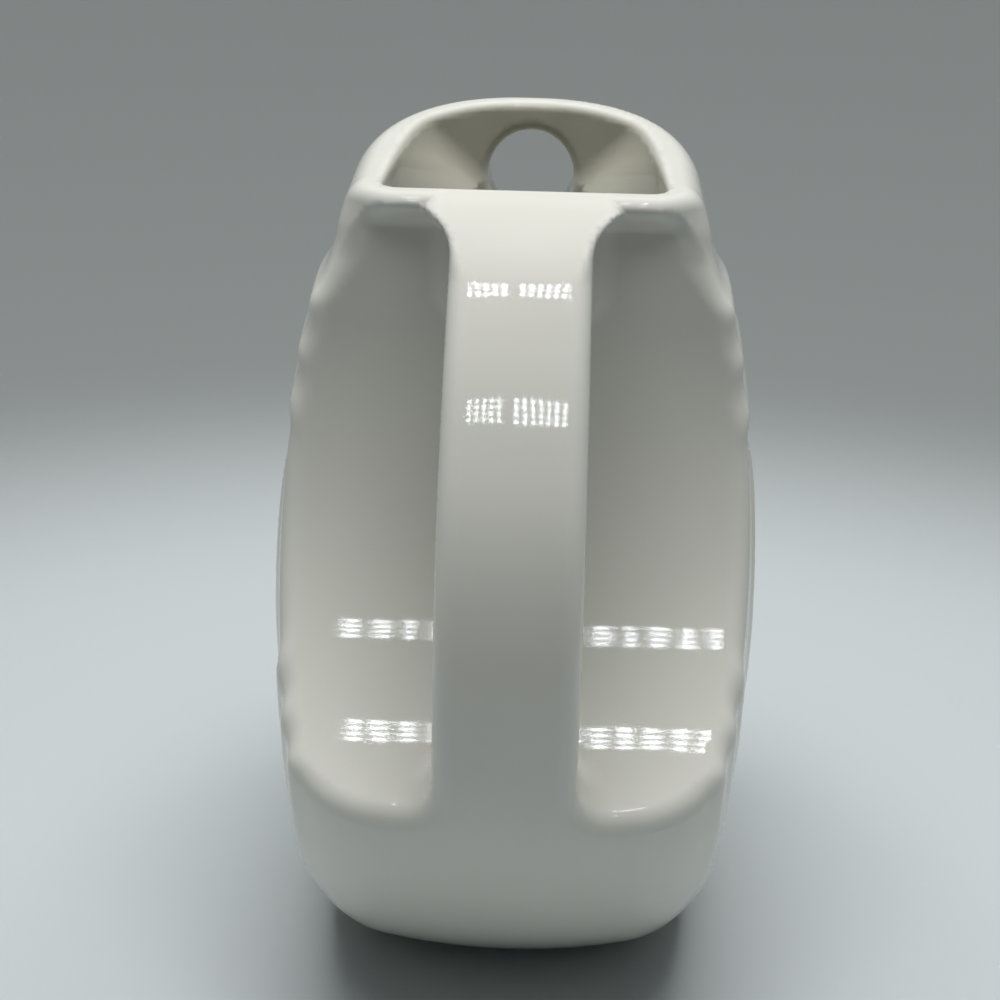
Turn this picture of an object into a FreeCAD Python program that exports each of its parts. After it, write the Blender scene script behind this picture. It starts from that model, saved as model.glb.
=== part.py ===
import FreeCAD, Part
import math
import os
import Sketcher

# Disc-shaped ceramic pitcher with a strap handle, slip-cast in one piece. Millimetres, +Z up.
# The origin is on the table, under the middle of the disc. The two round faces look along +X
# and -X, the handle is at -Y and the pouring nose at +Y.

# A number is a size of its own; a text is a formula in terms of the other sizes.
SIZES = {
    # the disc, standing on its edge
    "DiscRadius": 91.3,      # centre of the disc to the middle of its edge band
    "FootDepth": 7.3,        # how much of the disc the foot plane takes away
    "DiscCentre": "=DiscRadius - FootDepth",   # height of the disc's centre above the table
    "HalfThick": 55.2,       # half the thickness at the middle of the faces
    "FaceCrown": 310.0,      # radius of the gentle bulge of the faces
    "BandCrown": 150.0,      # radius of the gentle bulge across the edge band
    "CornerRound": 24.0,     # radius of the soft corner between face and band
    "FootRound": 5.0,        # softened edge of the foot
    # the collar and its mouth
    "CollarRise": 4.7,       # how far the rim stands over the top of the disc, at the back wall
    "RimNear": "=DiscCentre + DiscRadius + CollarRise",   # level of the rim at the back wall
    "RimTilt": 7.3,          # the rim rises towards the nose by this angle
    "CollarBack": 31.0,      # how far the collar's outline reaches behind the centre
    "CollarFront": 56.0,     # distance of its front wall before the centre
    "RimHalfBack": 39.5,     # half widths of the rim, at the handle and at the nose
    "RimHalfFront": 33.0,
    "RootLevel": "=RimNear - 32",   # level inside the disc at which the collar starts
    "RootHalfBack": 45.5,    # half widths at that level
    "RootHalfFront": 41.0,
    "BackCorner": 12.0,      # corner radii of the collar in plan
    "FrontCorner": 24.0,
    "NeckRound": 6.0,        # soft valley between collar and disc
    "Wall": 6.5,             # wall left by the slip
    "CollarWall": 8.5,       # thicker wall of the collar, at its sides and front
    "BaseWall": 8.0,         # thickness of the bottom
    "FloorRound": 3.0,       # rounding of the hollow round its floor
    "RimOuter": 3.0,         # rounding of the rim, outside and inside
    "RimInner": 2.0,
    "MouthCut": 20.0,        # how far the hollow is carried on above the rim plane
    # the strap handle and the recess that frees it
    "StrapHalf": 15.0,       # half the width of the strap
    "StrapThick": 14.0,      # thickness of the strap
    "StrapRound": 5.0,       # rounding of the strap's inner edges
    "StrapTop": "=RimNear - 11",    # level of the short flat where the strap leaves the collar
    "BendRound": 16.0,       # radius with which it turns down onto the disc's outline
    "RecessWall": 28.0,      # distance of the upright recess wall behind the centre
    "RecessBack": "=DiscRadius - 3.3",   # how far behind the centre the recess floor levels out
    "RecessLip": "=DiscCentre - 25",     # level of that floor where it meets the band
    "RecessTop": "=RimNear - 30",   # level at which the recess wall has become upright
    "RootBlend": 7.0,        # fillet where the strap grows out of the body
    "EdgeRound": 4.0,        # rounding of the recess edges and the strap's outer edges
    # the pouring nose
    "BoreRadius": 10.5,      # radius of the round pouring hole
    "BoreLevel": "=RimNear - 5",    # height of its axis
    "BoreStart": 25.0,       # where the drill starts, inside the throat
    "NoseReach": 68.0,       # distance of the nose tip before the centre
    "NoseStart": 45.0,       # where the nose starts, inside the collar's front wall
    "NoseRoot": 14.6,        # outer radius of the nose there
    "NoseTip": 13.8,         # outer radius of the nose at its tip
    "NoseRound": 1.3,        # rounding of the nose tip
    # the raised rings on both faces
    "RingBead": 3.6,         # radius of the bead's section
    "RingHeight": 1.2,       # height of the bead above the face
    "Ring1": "=DiscRadius - 16.3",  # radii of the four rings, from the outside in
    "Ring2": "=DiscRadius - 26.8",
    "Ring3": "=DiscRadius - 36.8",
    "Ring4": "=DiscRadius - 58.3",
}

doc = FreeCAD.newDocument("Pitcher")
sheet = doc.addObject("Spreadsheet::Sheet", "Sizes")
for row, (name, value) in enumerate(SIZES.items(), start=1):
    sheet.set(f"A{row}", name)
    sheet.set(f"B{row}", str(value))
    sheet.setAlias(f"B{row}", name)
doc.recompute()

V = FreeCAD.Vector


def size(name):
    return float(getattr(sheet, name))


def mirrored(p):
    return V(-p.x, p.y, 0)


def arc(centre, start, end):
    """Anticlockwise arc about centre from start to end."""
    a0 = math.atan2(start.y - centre.y, start.x - centre.x)
    a1 = math.atan2(end.y - centre.y, end.x - centre.x)
    return Part.ArcOfCircle(Part.Circle(centre, V(0, 0, 1), (start - centre).Length), a0, a1)


def new_body(name):
    return doc.addObject("PartDesign::Body", name)


def plane_of(body, role):
    return next(f for f in body.Origin.OriginFeatures if f.Role == role)


def new_sketch(body, name, role):
    sketch = body.newObject("Sketcher::SketchObject", name)
    sketch.AttachmentSupport = [(plane_of(body, role), "")]
    sketch.MapMode = "FlatFace"
    return sketch


def bind(sketch, kind, args, expression, value):
    """Add a dimension that follows the sheet."""
    number = sketch.addConstraint(Sketcher.Constraint(kind, *args, value))
    sketch.setExpression(f"Constraints[{number}]", expression)


# ------------------------------------------------------------------ the disc
# Half of the disc's section: face arc, corner arc, band arc, corner arc, face arc, all tangent.
def disc_profile(sketch, inset_expression, inset):
    r_out, half = size("DiscRadius") - inset, size("HalfThick") - inset
    face, band = size("FaceCrown") - inset, size("BandCrown") - inset
    corner = size("CornerRound") - inset
    c_face, c_band = V(half - face, 0, 0), V(0, r_out - band, 0)
    # centre of the corner arc: inside both large arcs
    a, b = face - corner, band - corner
    gap = c_band - c_face
    dist = gap.Length
    along = (a * a - b * b + dist * dist) / (2 * dist)
    up = math.sqrt(max(a * a - along * along, 0))
    unit = gap / dist
    side = V(unit.y, -unit.x, 0)
    mid = c_face + unit * along
    c_corner = max((mid + side * up, mid - side * up), key=lambda p: p.x + p.y)
    p_face = c_face + (c_corner - c_face).normalize() * face
    p_band = c_band + (c_corner - c_band).normalize() * band

    g = [
        sketch.addGeometry(Part.LineSegment(V(-half, 0, 0), V(half, 0, 0))),
        sketch.addGeometry(arc(c_face, V(half, 0, 0), p_face)),
        sketch.addGeometry(arc(c_corner, p_face, p_band)),
        sketch.addGeometry(arc(c_band, p_band, mirrored(p_band))),
        sketch.addGeometry(arc(mirrored(c_corner), mirrored(p_band), mirrored(p_face))),
        sketch.addGeometry(arc(mirrored(c_face), mirrored(p_face), V(-half, 0, 0))),
    ]
    for one, two in ((1, 2), (2, 3), (3, 4), (4, 5)):
        sketch.addConstraint(Sketcher.Constraint("Tangent", g[one], 2, g[two], 1))
    sketch.addConstraint(Sketcher.Constraint("Coincident", g[0], 2, g[1], 1))
    sketch.addConstraint(Sketcher.Constraint("Coincident", g[5], 2, g[0], 1))
    sketch.addConstraint(Sketcher.Constraint("Symmetric", g[0], 1, g[0], 2, -1, 1))
    sketch.addConstraint(Sketcher.Constraint("PointOnObject", g[0], 1, -1))
    sketch.addConstraint(Sketcher.Constraint("PointOnObject", g[1], 3, -1))
    sketch.addConstraint(Sketcher.Constraint("PointOnObject", g[5], 3, -1))
    sketch.addConstraint(Sketcher.Constraint("PointOnObject", g[3], 3, -2))
    bind(sketch, "DistanceX", (-1, 1, g[0], 2), f"Sizes.HalfThick{inset_expression}", half)
    bind(sketch, "Radius", (g[1],), f"Sizes.FaceCrown{inset_expression}", face)
    bind(sketch, "Radius", (g[5],), f"Sizes.FaceCrown{inset_expression}", face)
    bind(sketch, "Radius", (g[3],), f"Sizes.BandCrown{inset_expression}", band)
    bind(sketch, "Radius", (g[2],), f"Sizes.CornerRound{inset_expression}", corner)
    bind(sketch, "Radius", (g[4],), f"Sizes.CornerRound{inset_expression}", corner)
    bind(sketch, "DistanceY", (g[3], 3, -1, 1), "Sizes.BandCrown - Sizes.DiscRadius",
         size("BandCrown") - size("DiscRadius"))
    # the axis of the disc lies at the height of its centre
    sketch.setExpression("AttachmentOffset.Base.y", "Sizes.DiscCentre")


def add_disc(body, name, inset_expression="", inset=0.0):
    sketch = new_sketch(body, name + "Profile", "XZ_Plane")
    disc_profile(sketch, inset_expression, inset)
    disc = body.newObject("PartDesign::Revolution", name)
    disc.Profile = sketch
    disc.ReferenceAxis = (sketch, ["H_Axis"])
    disc.Angle = 360
    return disc


# ------------------------------------------------------------------ the collar
# Plan outline of the collar: a trapezoid with round corners, wide end towards the handle.
def collar_outline(sketch, back, front, half_back, half_front, r_back, r_front):
    """Each argument is an expression and its starting value."""
    yb, yf, hb, hf, rb, rf = (
        both[1] for both in (back, front, half_back, half_front, r_back, r_front))
    slope = math.atan2(hb - hf, yf + yb)
    n = V(math.cos(slope), math.sin(slope), 0)      # outward normal of the right side
    c_back = V(hb - rb * n.x, -yb + rb, 0)
    c_front = V(hf - rf * n.x, yf - rf, 0)
    p1, p2 = V(c_back.x, -yb, 0), c_back + n * rb
    p3, p4 = c_front + n * rf, V(c_front.x, yf, 0)
    g = [sketch.addGeometry(item) for item in (
        Part.LineSegment(mirrored(p1), p1), arc(c_back, p1, p2), Part.LineSegment(p2, p3),
        arc(c_front, p3, p4), Part.LineSegment(p4, mirrored(p4)),
        arc(mirrored(c_front), mirrored(p4), mirrored(p3)),
        Part.LineSegment(mirrored(p3), mirrored(p2)),
        arc(mirrored(c_back), mirrored(p2), mirrored(p1)))]
    for i in range(8):
        sketch.addConstraint(Sketcher.Constraint("Tangent", g[i], 2, g[(i + 1) % 8], 1))
    sketch.addConstraint(Sketcher.Constraint("Symmetric", g[0], 1, g[0], 2, -2))
    sketch.addConstraint(Sketcher.Constraint("Symmetric", g[4], 1, g[4], 2, -2))
    sketch.addConstraint(Sketcher.Constraint("Symmetric", g[2], 1, g[6], 2, -2))
    bind(sketch, "DistanceY", (g[0], 2, -1, 1), back[0], yb)
    bind(sketch, "DistanceY", (-1, 1, g[4], 1), front[0], yf)
    bind(sketch, "DistanceX", (-1, 1, g[2], 1), half_back[0], hb)
    bind(sketch, "DistanceX", (-1, 1, g[2], 2), half_front[0], hf)
    bind(sketch, "Radius", (g[1],), r_back[0], rb)
    bind(sketch, "Radius", (g[3],), r_front[0], rf)


def add_collar(body, name, kind, inset, back):
    """Loft from the root section to the rim plane; inset and back are expression, value pairs."""
    i_ex, i_val = inset
    b_ex, b_val = back
    root = new_sketch(body, name + "Root", "XY_Plane")
    collar_outline(
        root,
        (b_ex, b_val),
        (f"Sizes.CollarFront - {i_ex}", size("CollarFront") - i_val),
        (f"Sizes.RootHalfBack - {i_ex}", size("RootHalfBack") - i_val),
        (f"Sizes.RootHalfFront - {i_ex}", size("RootHalfFront") - i_val),
        (f"Sizes.BackCorner - {i_ex} / 2", size("BackCorner") - i_val / 2),
        (f"Sizes.FrontCorner - {i_ex}", size("FrontCorner") - i_val))
    root.setExpression("AttachmentOffset.Base.z", "Sizes.RootLevel")
    rim = new_sketch(body, name + "Rim", "XY_Plane")
    collar_outline(
        rim,
        (f"({b_ex}) / cos(Sizes.RimTilt)", b_val / math.cos(math.radians(size("RimTilt")))),
        (f"Sizes.CollarFront / cos(Sizes.RimTilt) - {i_ex}",
             size("CollarFront") / math.cos(math.radians(size("RimTilt"))) - i_val),
        (f"Sizes.RimHalfBack - {i_ex}", size("RimHalfBack") - i_val),
        (f"Sizes.RimHalfFront - {i_ex}", size("RimHalfFront") - i_val),
        (f"Sizes.BackCorner - {i_ex} / 2", size("BackCorner") - i_val / 2),
        (f"Sizes.FrontCorner - {i_ex}", size("FrontCorner") - i_val))
    rim.AttachmentOffset = FreeCAD.Placement(V(0, 0, 0), FreeCAD.Rotation(V(1, 0, 0), size("RimTilt")))
    rim.setExpression("AttachmentOffset.Base.z",
                      "Sizes.RimNear + Sizes.CollarBack * tan(Sizes.RimTilt)")
    rim.setExpression("AttachmentOffset.Rotation.Angle", "Sizes.RimTilt * 1deg")
    loft = body.newObject(kind, name)
    loft.Profile = root
    loft.Sections = [rim]
    loft.Ruled = True
    return loft, rim


# ------------------------------------------------------------------ outer form
outer = new_body("OuterForm")
add_disc(outer, "Disc")
doc.recompute()
add_collar(outer, "Collar", "PartDesign::AdditiveLoft", ("0", 0.0),
           ("Sizes.CollarBack", size("CollarBack")))
doc.recompute()

# ------------------------------------------------------------------ foot
def level_cut(body, name, level, downwards):
    """Remove everything below (or above) a level with one large square pocket."""
    sketch = new_sketch(body, name + "Square", "XY_Plane")
    w = 2 * size("DiscRadius")
    corner = [V(-w, -w, 0), V(w, -w, 0), V(w, w, 0), V(-w, w, 0)]
    g = [sketch.addGeometry(Part.LineSegment(corner[i], corner[(i + 1) % 4])) for i in range(4)]
    for i in range(4):
        sketch.addConstraint(Sketcher.Constraint("Coincident", g[i], 2, g[(i + 1) % 4], 1))
    for i, kind in enumerate(("Horizontal", "Vertical", "Horizontal", "Vertical")):
        sketch.addConstraint(Sketcher.Constraint(kind, g[i]))
    sketch.addConstraint(Sketcher.Constraint("Symmetric", g[0], 1, g[1], 2, -1, 1))
    bind(sketch, "DistanceX", (g[0], 1, g[0], 2), "4 * Sizes.DiscRadius", 2 * w)
    bind(sketch, "DistanceY", (g[1], 1, g[1], 2), "4 * Sizes.DiscRadius", 2 * w)
    if level:
        sketch.setExpression("AttachmentOffset.Base.z", level)
    cut = body.newObject("PartDesign::Pocket", name)
    cut.Profile = sketch
    cut.Length = w
    cut.setExpression("Length", "2 * Sizes.DiscRadius")
    cut.Reversed = not downwards
    return cut


level_cut(outer, "FootCut", "", True)
doc.recompute()

# ------------------------------------------------------------------ recess behind the body
# Everything behind one quarter-ellipse wall goes, except the ring that becomes the strap.
def ring_profile(body, name):
    sketch = new_sketch(body, name + "Profile", "XZ_Plane")
    half, r_in = size("StrapHalf"), size("DiscRadius") - size("StrapThick")
    r_out, rnd = size("DiscRadius") + 2 * size("StrapThick"), size("StrapRound")
    corner = V(half - rnd, r_in + rnd, 0)
    g = [sketch.addGeometry(item) for item in (
        Part.LineSegment(V(-half + rnd, r_in, 0), V(half - rnd, r_in, 0)),
        arc(corner, corner + V(0, -rnd, 0), corner + V(rnd, 0, 0)),
        Part.LineSegment(V(half, r_in + rnd, 0), V(half, r_out, 0)),
        Part.LineSegment(V(half, r_out, 0), V(-half, r_out, 0)),
        Part.LineSegment(V(-half, r_out, 0), V(-half, r_in + rnd, 0)),
        arc(mirrored(corner), mirrored(corner) + V(-rnd, 0, 0), mirrored(corner) + V(0, -rnd, 0)))]
    for i, j, kind in ((0, 1, "Tangent"), (1, 2, "Tangent"), (2, 3, "Coincident"),
                       (3, 4, "Coincident"), (4, 5, "Tangent"), (5, 0, "Tangent")):
        sketch.addConstraint(Sketcher.Constraint(kind, g[i], 2, g[j], 1))
    sketch.addConstraint(Sketcher.Constraint("Horizontal", g[0]))
    sketch.addConstraint(Sketcher.Constraint("Vertical", g[2]))
    sketch.addConstraint(Sketcher.Constraint("Vertical", g[4]))
    sketch.addConstraint(Sketcher.Constraint("Symmetric", g[3], 1, g[3], 2, -2))
    bind(sketch, "DistanceX", (g[4], 1, g[2], 2), "2 * Sizes.StrapHalf", 2 * half)
    bind(sketch, "DistanceY", (-1, 1, g[0], 1), "Sizes.DiscRadius - Sizes.StrapThick", r_in)
    bind(sketch, "DistanceY", (-1, 1, g[2], 2), "Sizes.DiscRadius + 2 * Sizes.StrapThick", r_out)
    bind(sketch, "Radius", (g[1],), "Sizes.StrapRound", rnd)
    bind(sketch, "Radius", (g[5],), "Sizes.StrapRound", rnd)
    sketch.setExpression("AttachmentOffset.Base.y", "Sizes.DiscCentre")
    return sketch


def behind_the_wall(name, grow_expression, grow):
    """Solid that holds everything behind the recess wall: a box above, an elliptic part below."""
    body = new_body(name)
    sketch = new_sketch(body, name + "Outline", "YZ_Plane")
    top, lip = size("RecessTop"), size("RecessLip") - grow
    wall, back = size("RecessWall") - grow, size("RecessBack")
    far, high = 2 * size("DiscRadius"), 3 * size("DiscRadius")
    major, minor = top - lip, back - wall
    centre = V(-back, top, 0)
    if major > minor:
        ellipse = Part.Ellipse(V(-back, top + major, 0), V(-back - minor, top, 0), centre)
        a0, a1 = math.pi, 1.5 * math.pi
    else:
        ellipse = Part.Ellipse(V(-back + minor, top, 0), V(-back, top + major, 0), centre)
        a0, a1 = 1.5 * math.pi, 2 * math.pi
    arc = sketch.addGeometry(Part.ArcOfEllipse(ellipse, a0, a1))
    ends = (sketch.getPoint(arc, 1), sketch.getPoint(arc, 2))
    low = 1 if ends[0].y < ends[1].y else 2
    up = 3 - low
    sketch.exposeInternalGeometry(arc)
    corner = [V(-back, lip, 0), V(-far, lip, 0), V(-far, high, 0), V(-wall, high, 0), V(-wall, top, 0)]
    g = [sketch.addGeometry(Part.LineSegment(corner[i], corner[i + 1])) for i in range(4)]
    for i in range(3):
        sketch.addConstraint(Sketcher.Constraint("Coincident", g[i], 2, g[i + 1], 1))
    sketch.addConstraint(Sketcher.Constraint("Tangent", arc, low, g[0], 1))
    sketch.addConstraint(Sketcher.Constraint("Tangent", arc, up, g[3], 2))
    for i, kind in enumerate(("Horizontal", "Vertical", "Horizontal", "Vertical")):
        sketch.addConstraint(Sketcher.Constraint(kind, g[i]))
    bind(sketch, "DistanceX", (arc, 3, -1, 1), "Sizes.RecessBack", back)
    bind(sketch, "DistanceY", (-1, 1, arc, 3), "Sizes.RecessTop", top)
    bind(sketch, "DistanceX", (g[3], 1, -1, 1), f"Sizes.RecessWall - {grow_expression}", wall)
    bind(sketch, "DistanceY", (-1, 1, g[0], 1), f"Sizes.RecessLip - {grow_expression}", lip)
    bind(sketch, "DistanceX", (g[1], 1, -1, 1), "2 * Sizes.DiscRadius", far)
    bind(sketch, "DistanceY", (-1, 1, g[2], 1), "3 * Sizes.DiscRadius", high)
    pad = body.newObject("PartDesign::Pad", name + "Pad")
    pad.Profile = sketch
    pad.Midplane = True
    pad.Length = 6 * size("HalfThick")
    pad.setExpression("Length", "6 * Sizes.HalfThick")
    return body


behind = behind_the_wall("Behind", "0", 0.0)
ring = new_body("StrapRing")
ring_sketch = ring_profile(ring, "StrapRing")
ring_turn = ring.newObject("PartDesign::Revolution", "StrapRingTurn")
ring_turn.Profile = ring_sketch
ring_turn.ReferenceAxis = (ring_sketch, ["H_Axis"])
ring_turn.Angle = 360
level_cut(ring, "RingTopCut", "Sizes.StrapTop", False)
doc.recompute()


def cut(name, base, tool):
    item = doc.addObject("Part::Cut", name)
    item.Refine = True
    item.Base, item.Tool = base, tool
    doc.recompute()
    return item


def join(name, shapes):
    item = doc.addObject("Part::MultiFuse", name)
    item.Shapes = shapes
    item.Refine = True
    doc.recompute()
    return item


def rounded(name, base, radius, picks):
    """Fillet the edges whose bounding box passes one of the tests; tangent edges follow along."""
    numbers = [i for i, e in enumerate(base.Shape.Edges, start=1) if any(t(e.BoundBox) for t in picks)]
    item = doc.addObject("Part::Fillet", name)
    item.Base = base
    item.Edges = [(i, radius, radius) for i in numbers]
    doc.recompute()
    if item.Shape.isNull() or not item.Shape.isValid():
        raise RuntimeError(f"{name}: the fillet of {radius} mm failed on edges {numbers}")
    return item


SLACK = 0.1      # an edge lies on a plane if it is this near to it
CLEAR = 1.0      # and clearly beyond a plane if it is this far from it


def near(a, b, slack=SLACK):
    return abs(a - b) < slack


def on_strap(b):
    """Within the strap's width."""
    return b.XMin > -size("StrapHalf") - SLACK and b.XMax < size("StrapHalf") + SLACK


def on_strap_side(b):
    """On one of the strap's two flat sides."""
    return near(b.XMin, b.XMax) and near(abs(b.XMin), size("StrapHalf"))


half, wall_y, lip = size("StrapHalf"), -size("RecessWall"), size("RecessLip")
strap_middle = size("DiscRadius") - size("StrapThick") / 2

# ------------------------------------------------------------------ softened outer form
# the nose: a short cone growing out of the collar's front wall
nose = doc.addObject("Part::Cone", "Nose")
nose.setExpression("Radius1", "Sizes.NoseRoot * 1mm")
nose.setExpression("Radius2", "Sizes.NoseTip * 1mm")
nose.setExpression("Height", "(Sizes.NoseReach - Sizes.NoseStart) * 1mm")
nose.Placement = FreeCAD.Placement(V(0, size("NoseStart"), size("BoreLevel")), FreeCAD.Rotation(V(1, 0, 0), -90))
nose.setExpression("Placement.Base.y", "Sizes.NoseStart")
nose.setExpression("Placement.Base.z", "Sizes.BoreLevel")
foot_soft = rounded("FootSoft", outer, size("FootRound"),
                    [lambda b: near(b.ZMin, 0) and near(b.ZMax, 0)])
neck_soft = rounded("NeckSoft", foot_soft, size("NeckRound"),
                    [lambda b: b.ZMin > size("RootLevel") + CLEAR and b.ZMax < size("RimNear") - CLEAR
                     and b.YMin > -size("CollarBack") - CLEAR and not near(b.XMin, b.XMax)])

recess = cut("Recess", behind, ring)
carved = cut("Carved", neck_soft, recess)
bend_soft = rounded("BendSoft", carved, size("BendRound"),
                    [lambda b: on_strap(b) and b.XMax - b.XMin > half and b.YMax < wall_y - SLACK
                     and near(b.ZMin, size("StrapTop")) and near(b.ZMax, size("StrapTop"))])
root_low = rounded("RootLow", bend_soft, size("RootBlend"),
                   [lambda b: on_strap(b) and b.YMin > -size("RecessBack") and b.YMax < wall_y
                    and b.ZMin > lip - CLEAR and b.ZMax < lip + size("RootBlend")])
edges_soft = rounded("EdgesSoft", root_low, size("EdgeRound"),
                     [lambda b: on_strap_side(b) and b.YMin < -strap_middle])
root_top = rounded("RootTop", edges_soft, size("EdgeRound"),
                   [lambda b: on_strap(b) and near(b.YMin, wall_y) and near(b.YMax, wall_y)
                    and b.ZMin > size("RecessTop") + CLEAR])
with_nose = join("WithNose", [root_top, nose])

# ------------------------------------------------------------------ the hollow
hollow = new_body("Hollow")
add_disc(hollow, "HollowDisc", " - Sizes.Wall", size("Wall"))
doc.recompute()
throat, mouth = add_collar(hollow, "Throat", "PartDesign::AdditiveLoft",
                           ("Sizes.CollarWall", size("CollarWall")),
                           ("Sizes.RecessWall - Sizes.Wall", size("RecessWall") - size("Wall")))
opening = hollow.newObject("PartDesign::Pad", "MouthOpening")
opening.Profile = mouth
opening.setExpression("Length", "Sizes.MouthCut")
level_cut(hollow, "FloorCut", "Sizes.BaseWall", True)
doc.recompute()
behind_inner = behind_the_wall("BehindInner", "Sizes.Wall", size("Wall"))
cavity = cut("Cavity", hollow, behind_inner)
cavity_soft = rounded("CavitySoft", cavity, size("FloorRound"),
                      [lambda b: near(b.ZMin, size("BaseWall")) and near(b.ZMax, size("BaseWall"))])
hollowed = cut("Hollowed", with_nose, cavity_soft)
bore = doc.addObject("Part::Cylinder", "Bore")
bore.setExpression("Radius", "Sizes.BoreRadius * 1mm")
bore.setExpression("Height", "2 * (Sizes.NoseReach - Sizes.BoreStart) * 1mm")
bore.Placement = FreeCAD.Placement(V(0, size("BoreStart"), size("BoreLevel")), FreeCAD.Rotation(V(1, 0, 0), -90))
bore.setExpression("Placement.Base.y", "Sizes.BoreStart")
bore.setExpression("Placement.Base.z", "Sizes.BoreLevel")
bored = cut("Bored", hollowed, bore)

# rim: the edges that lie in the tilted rim plane, outer outline and inner outline
def rim_level(y):
    return size("RimNear") + (y + size("CollarBack")) * math.tan(math.radians(size("RimTilt")))


def on_rim(b):
    return near(b.ZMin, rim_level(b.YMin), 3 * SLACK) and near(b.ZMax, rim_level(b.YMax), 3 * SLACK)


def on_outer_outline(b):
    return (b.YMin < wall_y + CLEAR or b.YMax > size("CollarFront") - CLEAR
            or max(abs(b.XMin), abs(b.XMax)) > size("RimHalfBack") - CLEAR)


nose_round = rounded("NoseSoft", bored, size("NoseRound"),
                     [lambda b: near(b.YMin, size("NoseReach")) and near(b.YMax, size("NoseReach"))])
rim_soft = rounded("RimSoft", nose_round, size("RimOuter"), [lambda b: on_rim(b) and on_outer_outline(b)])
rim_in = rounded("RimInside", rim_soft, size("RimInner"), [lambda b: on_rim(b) and not on_outer_outline(b)])

# ------------------------------------------------------------------ raised rings on the faces
# Each ring is a bead sunk into the face; it stops short of the recess edge.
pitcher = rim_in
for ring_name in ("Ring1", "Ring2", "Ring3", "Ring4"):
    for side, sign in (("Right", 1), ("Left", -1)):
        bead = doc.addObject("Part::Torus", f"{ring_name}{side}")
        bead.setExpression("Radius1", f"Sizes.{ring_name} * 1mm")
        bead.setExpression("Radius2", "Sizes.RingBead * 1mm")
        bead.Placement = FreeCAD.Placement(V(0, 0, 0), FreeCAD.Rotation(V(0, 1, 0), 90))
        bead.setExpression("Placement.Base.x",
                           f"{sign} * (Sizes.HalfThick - Sizes.FaceCrown + sqrt(Sizes.FaceCrown^2 - "
                           f"Sizes.{ring_name}^2) + Sizes.RingHeight - Sizes.RingBead)")
        bead.setExpression("Placement.Base.z", "Sizes.DiscCentre")
        doc.recompute()
        free = cut(f"{ring_name}{side}Free", bead, behind_inner)
        joined = doc.addObject("Part::Fuse", f"With{ring_name}{side}")
        joined.Base, joined.Tool = pitcher, free
        doc.recompute()
        pitcher = joined
pitcher.Label = "pitcher"
pitcher.Placement = FreeCAD.Placement(V(0, 0, 0), FreeCAD.Rotation())
doc.recompute()

# ------------------------------------------------------------------ check and export
for item in doc.Objects:
    if "Invalid" in item.State or "Error" in item.State:
        raise RuntimeError(f"{item.Name} did not recompute: {item.State}")
shape = pitcher.Shape
if shape.isNull() or not shape.isValid() or len(shape.Solids) != 1:
    raise RuntimeError("the pitcher is not one valid solid")
print(f"pitcher: {shape.Volume / 1000:.1f} cm3, {len(shape.Faces)} faces")
os.makedirs("parts", exist_ok=True)
shape.exportStep(f"parts/{pitcher.Label}.step")
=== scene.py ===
"""Looks of a disc-shaped glazed china pitcher with a strap handle, on a pale studio floor.

Metres, +Z up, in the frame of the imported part. The round faces look along +X and -X, the handle
is at -Y and the pouring nose at +Y. Inside the pitcher's section sizes are in millimetres.
"""

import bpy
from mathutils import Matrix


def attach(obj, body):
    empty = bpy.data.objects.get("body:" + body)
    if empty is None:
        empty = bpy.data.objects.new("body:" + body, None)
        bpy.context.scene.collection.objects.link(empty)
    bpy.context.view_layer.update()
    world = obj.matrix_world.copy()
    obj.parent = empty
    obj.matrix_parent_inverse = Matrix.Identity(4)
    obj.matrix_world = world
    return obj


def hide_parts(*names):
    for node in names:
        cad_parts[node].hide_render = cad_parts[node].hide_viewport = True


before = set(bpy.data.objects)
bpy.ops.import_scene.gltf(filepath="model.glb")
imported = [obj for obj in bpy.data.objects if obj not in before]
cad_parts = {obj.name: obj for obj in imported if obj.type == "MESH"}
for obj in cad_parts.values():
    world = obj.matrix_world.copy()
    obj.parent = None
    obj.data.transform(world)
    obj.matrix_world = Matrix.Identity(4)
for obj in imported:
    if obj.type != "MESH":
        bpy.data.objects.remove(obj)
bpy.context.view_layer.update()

import math

import bpy
import numpy as np
from mathutils import Matrix, Vector

# ---------------------------------------------------------------- the pitcher
# One slip-cast china body: a thick disc standing on its edge, an oblong collar with the mouth, a
# short pouring nose, and a strap handle left standing when the back of the disc was hollowed in.
# The mould leaves soft edges everywhere and the glaze runs over all of it except the wiped foot.

# the disc, its raised rings and its walls
disc_radius, disc_centre, half_thick = 91.3, 84.0, 55.2
face_crown, band_crown, corner_round = 310.0, 150.0, 24.0
ring_radii, ring_height, ring_width, rings_start = (75.0, 64.5, 54.5, 33.0), 1.0, 3.0, 30.0
wall, base_wall, floor_round, wall_round = 6.5, 8.0, 5.0, 6.0
neck_wall, neck_low, neck_high = 3.0, 150.0, 172.0
foot_round, neck_round = 5.0, 5.0
edge_round, lip_edge_round, lip_low, lip_high = 4.0, 2.0, 164.0, 171.0
# the collar: rim_near is the rim's height at rim_back, and it rises towards the nose
rim_back, rim_near, rim_tilt = 31.0, 179.1, math.radians(7.9)
rim_half, collar_flare, flare_depth, squareness = 38.5, 2.6, 12.0, 2.25
collar_front, collar_back, lip_reach, collar_corner, collar_root = 58.0, 25.0, 6.5, 13.0, 120.0
rim_outer, lip_outer, rim_inner = 4.8, 2.8, 2.0
# the mouth and the throat under it
mouth_half, mouth_back, mouth_front, mouth_start, mouth_corner = 31.8, 24.5, 48.6, -4.0, 5.0
cheek_half, cheek_narrowing, cheek_round = 26.5, 0.8, 3.0
throat_depth, throat_root = 19.0, 140.0
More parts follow.
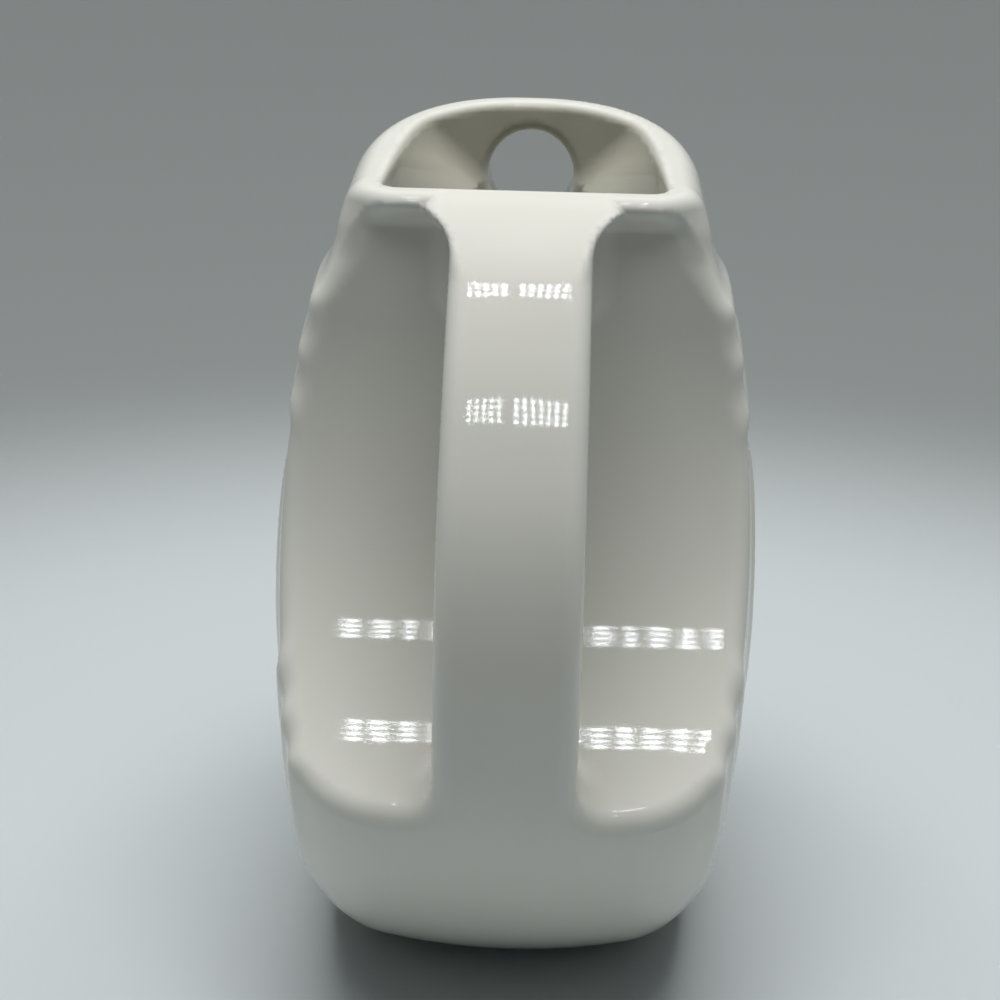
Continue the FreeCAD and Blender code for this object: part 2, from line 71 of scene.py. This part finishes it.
# the strap, and the bridge that leads from it to the rim
strap_half, strap_thick, strap_round = 15.0, 14.0, 5.0
strap_swell, swell_start, bend_soft = 85.0, math.radians(30), 4.0
bend_at, ramp, rim_soft = (-42.0, 173.4), math.radians(25.5), 1.5
bridge_half, bridge_round, bridge_front = 22.0, 4.0, 10.0
# the recess beside and behind the strap
recess_wall, scoop_radius, scoop_top, root_blend = 28.0, 100.0, 150.6, 7.0
recess_ceiling, ceiling_drop, drop_start, drop_end, lip_under = 175.2, 5.0, 33.0, 41.0, 4.0
# the pouring nose and its hole
bore_radius, bore_level, bore_round, nose_reach, nose_start = 10.8, 172.4, 2.5, 68.0, 45.0
nose_root, nose_tip, nose_round, nose_fillet, nose_back = 14.6, 13.8, 1.8, 3.5, 30.0


def join(a, b, r):
    """Two forms grown together with a hollow fillet of radius r; minus is inside."""
    return np.maximum(r, np.minimum(a, b)) - np.hypot(np.maximum(r - a, 0), np.maximum(r - b, 0))


def trim(a, b, r):
    """What two forms share, its new edge rounded with radius r."""
    return np.minimum(-r, np.maximum(a, b)) + np.hypot(np.maximum(r + a, 0), np.maximum(r + b, 0))


def bend(a, b, r):
    """What two forms share where they meet at a shallow angle, the bend softened over a width r."""
    return np.maximum(a, b) + r / 4 * np.maximum(1 - np.abs(a - b) / r, 0) ** 2


def ease(low, high, v):
    """0 below low, 1 above high, a smooth step between."""
    t = np.clip((v - low) / (high - low), 0, 1)
    return t * t * (3 - 2 * t)


def disc_form(x, y, z):
    """The thick disc: a gently crowned face, a round corner and a gently crowned edge band."""
    out = np.hypot(y, z - disc_centre)
    face_x, band_r = half_thick - face_crown, disc_radius - band_crown
    a, b = face_crown - corner_round, band_crown - corner_round
    span = math.hypot(face_x, band_r)
    along = (a * a - b * b + span * span) / (2 * span)
    up = math.sqrt(a * a - along * along)
    ux, ur = -face_x / span, band_r / span
    corner_x, corner_r = face_x + ux * along - ur * up, ur * along + ux * up
    face = np.hypot(x - face_x, out) - face_crown
    band = np.hypot(x, out - band_r) - band_crown
    corner = np.hypot(x - corner_x, out - corner_r) - corner_round
    on_face = (corner_x - face_x) * out - corner_r * (x - face_x) < 0
    on_band = corner_x * (out - band_r) - (corner_r - band_r) * x > 0
    return np.where(on_face & on_band, np.maximum(face, band),
                    np.where(on_face, face, np.where(on_band, band, corner)))


def rim_depth(y, z):
    """How far a point is below the tilted plane of the rim."""
    return rim_near + (y + rim_back) * math.tan(rim_tilt) - z


def oval(x, y, half, front, start):
    """A plan outline: straight sides at first, then a squarish bow that ends at front."""
    length = front - start
    u, v = x / half, np.maximum(y - start, 0) / length
    bow = (u ** squareness + v ** squareness) ** (1 / squareness) + 1e-6
    steep = np.hypot((u / bow) ** (squareness - 1) / half, (v / bow) ** (squareness - 1) / length)
    return (bow - 1) / np.maximum(steep, 0.005)


def collar_form(x, y, z):
    """The oblong collar, a little wider at its root, with a soft rim and a lip over each recess."""
    depth = rim_depth(y, z)
    half = rim_half + collar_flare * ease(0, flare_depth, depth)
    back = collar_back + lip_reach * ease(strap_half - 2, strap_half + 5, x)
    plan = trim(oval(x, y, half, collar_front, 0), -y - back, collar_corner)
    soft = lip_outer + (rim_outer - lip_outer) * ease(-28, -16, y)
    return trim(np.maximum(plan, collar_root - z), -depth * math.cos(rim_tilt), soft)


def throat_form(x, y, z):
    """The mouth and throat: a bowed wall, and flat cheeks that close in on the pouring hole."""
    depth = np.clip(rim_depth(y, z), 0, throat_depth)
    to_front = (y + mouth_back) / (mouth_front + mouth_back)
    cheek = x - mouth_half - (cheek_half - cheek_narrowing * depth - mouth_half) * to_front
    plan = trim(oval(x, y, mouth_half, mouth_front, mouth_start), -y - mouth_back, mouth_corner)
    return np.maximum(trim(plan, cheek, cheek_round), throat_root - z)


def recess_form(x, y, z):
    """What is missing behind the body: an upright wall over a round scoop, under a lip."""
    scoop = np.hypot(y + recess_wall + scoop_radius, np.maximum(scoop_top - z, 0)) - scoop_radius
    ceiling = recess_ceiling - ceiling_drop * ease(drop_start, drop_end, x)
    return trim(scoop, z - ceiling, lip_under)


def hollow_form(p):
    """Where the slip was poured out: the disc and the throat, less the wall."""
    x, y, z = np.abs(p[..., 0]), p[..., 1], p[..., 2]
    hollow = join(disc_form(x, y, z) + wall, throat_form(x, y, z), wall_round)
    high = ease(neck_low, neck_high, z)
    kept = wall + (neck_wall - wall) * high
    hollow = trim(hollow, kept - recess_form(x, y, z), wall_round - (wall_round - rim_inner) * high)
    return trim(hollow, base_wall - z, floor_round)


def pitcher_form(p):
    """Distance in mm from the skin of the whole pitcher, minus inside the china."""
    x, y, z = np.abs(p[..., 0]), p[..., 1], p[..., 2]
    out = np.hypot(y, z - disc_centre)
    rings = sum(np.exp(-((out - r) / ring_width) ** 2) for r in ring_radii)
    disc = disc_form(x, y, z) - ring_height * rings * ease(rings_start, rings_start + 10, x)
    rise = y * math.sin(swell_start) + (z - disc_centre) * math.cos(swell_start)
    swell_y = y - strap_swell * math.cos(swell_start)
    swell_z = z - disc_centre + strap_swell * math.sin(swell_start)
    swell = np.hypot(x, np.hypot(swell_y, swell_z) - disc_radius - strap_swell + band_crown) - band_crown
    slant = (z - bend_at[1]) * math.cos(ramp) - (y - bend_at[0]) * math.sin(ramp)
    top = bend(slant, -rim_depth(y, z) * math.cos(rim_tilt), rim_soft)
    bridge = trim(bend(top, swell, bend_soft), x - bridge_half, bridge_round)
    body = join(disc, collar_form(x, y, z), neck_round)
    body = np.minimum(body, np.maximum(bridge, np.maximum(y + bridge_front, -rise)))
    taper = (nose_root - nose_tip) / (nose_reach - nose_start)
    nose = np.hypot(x, z - bore_level) - nose_root + taper * (y - nose_start)
    nose = np.maximum(trim(nose, y - nose_reach, nose_round), nose_back - y)
    body = trim(join(body, nose, nose_fillet), -z, foot_round)
    strap = trim(x - strap_half, disc_radius - strap_thick - out, strap_round)
    soft = edge_round + (lip_edge_round - edge_round) * ease(lip_low, lip_high, z)
    body = trim(body, join(-recess_form(x, y, z), strap, root_blend), soft)
    body = trim(body, -hollow_form(p), rim_inner)
    bore = np.maximum(np.hypot(x, z - bore_level) - bore_radius, nose_back - y)
    return trim(body, -bore, bore_round)


def slope_of(form, p, reach=0.05):
    """Direction in which the distance grows, at each point."""
    g = np.empty_like(p)
    for axis in range(3):
        step = np.zeros(3)
        step[axis] = reach
        g[..., axis] = (form(p + step) - form(p - step)) / (2 * reach)
    return g


def skin(form, xs, ys, zs):
    """Points and four-sided faces of the zero level of a form, on a grid of levels."""
    grid = np.stack(np.meshgrid(xs, ys, zs, indexing="ij"), axis=-1)
    value = form(grid)
    inside = value < 0
    nx, ny, nz = inside.shape
    offsets = [(i, j, k) for i in (0, 1) for j in (0, 1) for k in (0, 1)]
    count = sum(inside[i:nx - 1 + i, j:ny - 1 + j, k:nz - 1 + k].astype(int) for i, j, k in offsets)
    cells = np.argwhere((count > 0) & (count < 8))
    number = np.full(count.shape, -1)
    number[tuple(cells.T)] = np.arange(len(cells))
    total, hits = np.zeros((len(cells), 3)), np.zeros(len(cells))
    for axis in range(3):
        ahead = np.eye(3, dtype=int)[axis]
        for offset in (o for o in offsets if o[axis] == 0):
            one = cells + offset
            two = one + ahead
            a, b = value[tuple(one.T)], value[tuple(two.T)]
            crossed = (a < 0) != (b < 0)
            share = np.where(crossed, a / np.where(crossed, a - b, 1), 0)[:, None]
            place = grid[tuple(one.T)] * (1 - share) + grid[tuple(two.T)] * share
            total += place * crossed[:, None]
            hits += crossed
    points = total / hits[:, None]
    faces = []
    for axis in range(3):
        ahead = np.eye(3, dtype=int)[axis]
        b, c = np.eye(3, dtype=int)[(axis + 1) % 3], np.eye(3, dtype=int)[(axis + 2) % 3]
        low = [slice(None)] * 3
        high = [slice(None)] * 3
        low[axis], high[axis] = slice(None, -1), slice(1, None)
        edges = np.argwhere(inside[tuple(low)] != inside[tuple(high)])
        around = np.stack([number[tuple((edges - s).T)] for s in (b + c, c, 0 * b, b)], axis=1)
        leaving = inside[tuple(edges.T)]
        faces.append(np.where(leaving[:, None], around, around[:, ::-1]))
    return points, np.concatenate(faces)


# grid levels, closer together at the collar, where the small edges are
across = np.arange(1, 42) * 1.5 - 0.75
across = np.concatenate([-across[::-1], across])
along = -93.6 + 1.7 * np.arange(111)
upward = np.concatenate([np.arange(-1.7, 139.0, 1.8), np.arange(139.6, 194.0, 1.25)])
points, faces = skin(pitcher_form, across, along, upward)
# then each point is drawn onto the skin
for _ in range(4):
    distance, slope = pitcher_form(points), slope_of(pitcher_form, points)
    move = distance / np.maximum((slope ** 2).sum(axis=1), 0.25)
    points -= np.clip(move, -0.6, 0.6)[:, None] * slope
normals = slope_of(pitcher_form, points)
normals /= np.linalg.norm(normals, axis=1)[:, None]

# how sharply the skin turns at each point: the glaze draws thin over edges and pools in valleys
turn = -6 * pitcher_form(points)
for axis in range(3):
    step = np.zeros(3)
    step[axis] = 1.0
    turn += pitcher_form(points + step) + pitcher_form(points - step)

mesh = bpy.data.meshes.new("pitcher_glazed")
mesh.from_pydata((points / 1000).tolist(), [], faces.tolist())
mesh.validate()
mesh.shade_smooth()
mesh.normals_split_custom_set_from_vertices(normals.tolist())
draw = mesh.attributes.new("glaze_draw", "FLOAT", "POINT")
draw.data.foreach_set("value", np.clip(turn, -1, 1).astype(np.float32))
# where the hollow is, which carries the painted shade inside it
inner = mesh.attributes.new("inside", "FLOAT", "POINT")
inner.data.foreach_set("value", ease(-1.5, 1.0, -hollow_form(points)).astype(np.float32))
pitcher = bpy.data.objects.new("pitcher_glazed", mesh)
bpy.context.collection.objects.link(pitcher)


def srgb(code):
    """Linear colour from a hex code."""
    parts = [int(code[i:i + 2], 16) / 255 for i in (1, 3, 5)]
    return [c / 12.92 if c <= 0.04045 else ((c + 0.055) / 1.055) ** 2.4 for c in parts] + [1.0]


def add(tree, kind, inputs=None, **settings):
    """A node with its settings, its inputs set or linked. A colour mix has its two colours at 6 and 7."""
    node = tree.nodes.new(kind)
    for name, value in settings.items():
        setattr(node, name, value)
    for name, value in (inputs or {}).items():
        if isinstance(value, bpy.types.NodeSocket):
            tree.links.new(value, node.inputs[name])
        else:
            node.inputs[name].default_value = value
    return node


def new_material(name):
    """An empty node material with its output node."""
    material = bpy.data.materials.new(name)
    material.use_nodes = True
    material.node_tree.nodes.clear()
    return material, material.node_tree, material.node_tree.nodes.new("ShaderNodeOutputMaterial")


# Glazed china: a cool white body under clear glass, so a soft white with small sharp reflections.
# The glaze is a little uneven, so reflections waver; it is paler where it draws thin over edges.
glaze, tree, out = new_material("white_glazed_china")
place = add(tree, "ShaderNodeTexCoord").outputs["Object"]
cloud = add(tree, "ShaderNodeTexNoise", {"Vector": place, "Scale": 38.0, "Detail": 3.0, "Roughness": 0.5})
body_tint = add(tree, "ShaderNodeMix", {
    "Factor": cloud.outputs["Fac"], 6: srgb("#E4E4DD"), 7: srgb("#ECECE5")}, data_type="RGBA")
draw = add(tree, "ShaderNodeAttribute", attribute_name="glaze_draw")
draw_share = add(tree, "ShaderNodeMapRange", {
    "Value": draw.outputs["Fac"], "From Min": -0.6, "From Max": 0.6, "To Min": 0.0, "To Max": 1.0})
edge_tint = add(tree, "ShaderNodeMix", {
    "Factor": draw_share.outputs["Result"], 6: srgb("#F0EFEA"), 7: srgb("#FFFFFF")}, data_type="RGBA")
tinted = add(tree, "ShaderNodeMix", {
    "Factor": 1.0, 6: body_tint.outputs[2], 7: edge_tint.outputs[2]},
    data_type="RGBA", blend_type="MULTIPLY")
# inside, painted shade: a darker, warmer grey stands in for the shade inside the hollow
inside = add(tree, "ShaderNodeAttribute", attribute_name="inside")
inside_shaded = add(tree, "ShaderNodeMix", {
    "Factor": inside.outputs["Fac"], 6: tinted.outputs[2], 7: srgb("#B0AD9A")}, data_type="RGBA")
# pin specks of iron in the body, well apart
speck_cells = add(tree, "ShaderNodeTexVoronoi", {"Vector": place, "Scale": 45.0, "Randomness": 1.0})
speck_size = add(tree, "ShaderNodeSeparateColor", {"Color": speck_cells.outputs["Color"]})
speck_limit = add(tree, "ShaderNodeMapRange", {
    "Value": speck_size.outputs[0], "From Min": 0.8, "From Max": 1.0, "To Min": 0.0, "To Max": 0.016})
speck = add(tree, "ShaderNodeMath", {
    0: speck_cells.outputs["Distance"], 1: speck_limit.outputs["Result"]}, operation="LESS_THAN")
speck_mix = add(tree, "ShaderNodeMix", {
    "Factor": speck.outputs[0], 6: inside_shaded.outputs[2], 7: srgb("#A79C8A")}, data_type="RGBA")
# bare, rough china where the foot was wiped
height = add(tree, "ShaderNodeSeparateXYZ", {"Vector": place})
ragged = add(tree, "ShaderNodeTexNoise", {"Vector": place, "Scale": 120.0, "Detail": 2.0})
line = add(tree, "ShaderNodeMath", {
    0: ragged.outputs["Fac"], 1: 0.0009, 2: 0.0002}, operation="MULTIPLY_ADD")
glazed = add(tree, "ShaderNodeMapRange", {
    "Value": height.outputs["Z"], "From Min": 0.0, "From Max": line.outputs[0],
    "To Min": 0.0, "To Max": 1.0}, interpolation_type="SMOOTHSTEP")
colour = add(tree, "ShaderNodeMix", {
    "Factor": glazed.outputs["Result"], 6: srgb("#D8D1C3"), 7: speck_mix.outputs[2]}, data_type="RGBA")
rough = add(tree, "ShaderNodeMix", {"Factor": glazed.outputs["Result"], 2: 0.7, 3: 0.05}, data_type="FLOAT")
# the glaze ran a little before it set
wave = add(tree, "ShaderNodeTexNoise", {"Vector": place, "Scale": 60.0, "Detail": 1.0})
wavy = add(tree, "ShaderNodeBump", {"Height": wave.outputs["Fac"], "Strength": 1.0, "Distance": 0.00006})
china = add(tree, "ShaderNodeBsdfPrincipled", {
    "Base Color": colour.outputs[2], "Roughness": rough.outputs[0], "IOR": 1.5,
    "Normal": wavy.outputs["Normal"]})
tree.links.new(china.outputs["BSDF"], out.inputs["Surface"])
mesh.materials.append(glaze)
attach(pitcher, "root")
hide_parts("pitcher")

# ---------------------------------------------------------------- the studio
# A pale paper sweep: level under the pitcher and rising all round into a bowl, with painted shade that
# makes it a little darker away from the light. Matt, so it shows only a soft shadow.
sweep_flat, sweep_reach, sweep_curve, sweep_top = 0.46, 0.98, 0.5, 1.0
rows = [(sweep_flat * i / 6, 0.0) for i in range(7)]
for i in range(1, 17):
    a = math.pi / 2 * i / 16
    rows.append((sweep_flat + (sweep_reach - sweep_flat) * math.sin(a), sweep_curve * (1 - math.cos(a))))
rows.append((sweep_reach, sweep_top))
around = 96
ring_points = [(0.0, 0.0, 0.0)]
for radius, level in rows[1:]:
    for k in range(around):
        turn_k = 2 * math.pi * k / around
        ring_points.append((radius * math.cos(turn_k), radius * math.sin(turn_k), level))
sweep_faces = [(0, 1 + k, 1 + (k + 1) % around) for k in range(around)]
for row in range(len(rows) - 2):
    first, second = 1 + row * around, 1 + (row + 1) * around
    for k in range(around):
        after = (k + 1) % around
        sweep_faces.append((first + k, second + k, second + after, first + after))
sweep_mesh = bpy.data.meshes.new("paper_sweep")
sweep_mesh.from_pydata(ring_points, [], sweep_faces)
sweep_mesh.shade_smooth()
sweep = bpy.data.objects.new("paper_sweep", sweep_mesh)
bpy.context.collection.objects.link(sweep)
# Matt backing paper: pale near the pitcher, greyer further out, a painted fall-off of the light.
paper, tree, out = new_material("backing_paper")
place = add(tree, "ShaderNodeTexCoord").outputs["Object"]
reach = add(tree, "ShaderNodeVectorMath", {0: place}, operation="LENGTH")
far = add(tree, "ShaderNodeMapRange", {
    "Value": reach.outputs["Value"], "From Min": 0.22, "From Max": 0.55,
    "To Min": 0.0, "To Max": 1.0}, interpolation_type="SMOOTHSTEP")
shade = add(tree, "ShaderNodeMix", {
    "Factor": far.outputs["Result"], 6: srgb("#CAD0D2"), 7: srgb("#989D9C")}, data_type="RGBA")
# painted shade: the end behind the camera is coloured dark to stand for the dark of the room
spot = add(tree, "ShaderNodeSeparateXYZ", {"Vector": place})
behind = add(tree, "ShaderNodeMapRange", {
    "Value": spot.outputs["Y"], "From Min": -0.42, "From Max": -0.62,
    "To Min": 0.0, "To Max": 1.0}, interpolation_type="SMOOTHSTEP")
dim = add(tree, "ShaderNodeMix", {
    "Factor": behind.outputs["Result"], 6: shade.outputs[2], 7: srgb("#555959")}, data_type="RGBA")
matt = add(tree, "ShaderNodeBsdfPrincipled", {
    "Base Color": dim.outputs[2], "Roughness": 0.9, "Specular IOR Level": 0.2})
tree.links.new(matt.outputs["BSDF"], out.inputs["Surface"])
sweep_mesh.materials.append(paper)

# ---------------------------------------------------------------- the lights
# A large soft light overhead does most of the work. Two small panels of bare lamps, both high on
# the handle's side, only leave their sharp dotted reflections in the glaze.
middle = Vector((0.0, 0.0, 0.09))


def soft_light(name, place, wide, deep, power):
    """A rectangular soft light that faces the middle of the pitcher."""
    lamp = bpy.data.lights.new(name, "AREA")
    lamp.shape, lamp.size, lamp.size_y, lamp.energy = "RECTANGLE", wide, deep, power
    light = bpy.data.objects.new(name, lamp)
    light.location = place
    light.rotation_euler = (middle - Vector(place)).to_track_quat("-Z", "Y").to_euler()
    bpy.context.collection.objects.link(light)
    return light


overhead = soft_light("overhead", (0.0, 0.05, 0.97), 0.8, 0.8, 10.7)
overhead.visible_glossy = False
lamp_white, tree, out = new_material("bare_lamp")
glow = add(tree, "ShaderNodeEmission", {"Color": srgb("#F4F8FF"), "Strength": 38.0})
tree.links.new(glow.outputs[0], out.inputs["Surface"])
lamp_white.cycles.emission_sampling = "NONE"


def lamp_panel(name, elevation, distance, spacing, gap, columns, lines, missing):
    """Lines of small bare lamps facing the pitcher, a gap apart, with one column left out."""
    a = math.radians(elevation)
    place = middle + distance * Vector((0, -math.cos(a), math.sin(a)))
    turned = (middle - place).to_track_quat("-Z", "Y").to_matrix()
    r = 0.3 * gap
    corners, dots = [], []
    for i in (c for c in range(columns) if c != missing):
        for j in range(lines):
            centre = Vector((spacing * (i - (columns - 1) / 2), gap * (j - (lines - 1) / 2), 0))
            first = len(corners)
            for k in range(8):
                turn_k = k * math.pi / 4
                at = centre + r * Vector((math.cos(turn_k), math.sin(turn_k), 0))
                corners.append(tuple(place + turned @ at))
            dots.append(tuple(range(first + 7, first - 1, -1)))
    panel_mesh = bpy.data.meshes.new(name)
    panel_mesh.from_pydata(corners, [], dots)
    panel_mesh.materials.append(lamp_white)
    panel = bpy.data.objects.new(name, panel_mesh)
    panel.visible_camera = False
    panel.visible_diffuse = False
    panel.visible_shadow = False
    bpy.context.collection.objects.link(panel)


lamp_panel("lamps_front", 52.5, 0.62, 0.0148, 0.0115, 14, 4, 5)
lamp_panel("lamps_back", 74.5, 0.62, 0.0148, 0.0145, 14, 4, 5)

world = bpy.data.worlds.new("room")
world.use_nodes = True
world.node_tree.nodes["Background"].inputs["Color"].default_value = srgb("#C9D0D2")
world.node_tree.nodes["Background"].inputs["Strength"].default_value = 0.08
bpy.context.scene.world = world
bpy.context.scene.view_settings.view_transform = "Standard"

# ---------------------------------------------------------------- the camera
# Behind the handle, a little above the rim, looking down by twenty degrees.
target, stand_off = Vector((0.0, 0.0, 0.084)), 0.4626
pitch, swing, lean = math.radians(20.0), math.radians(1.1), math.radians(1.4)
forward = Vector((-math.sin(swing) * math.cos(pitch), math.cos(swing) * math.cos(pitch), -math.sin(pitch)))
lens = bpy.data.cameras.new("camera")
lens.sensor_width, lens.lens = 36.0, 68.04
lens.shift_x, lens.shift_y = -0.0175, 0.0685
lens.clip_start, lens.clip_end = 0.02, 10.0
camera = bpy.data.objects.new("camera", lens)
turned = forward.to_track_quat("-Z", "Y").to_matrix() @ Matrix.Rotation(lean, 3, "Z")
camera.matrix_world = Matrix.Translation(target - stand_off * forward) @ turned.to_4x4()
bpy.context.collection.objects.link(camera)
bpy.context.scene.camera = camera

bpy.context.view_layer.update()
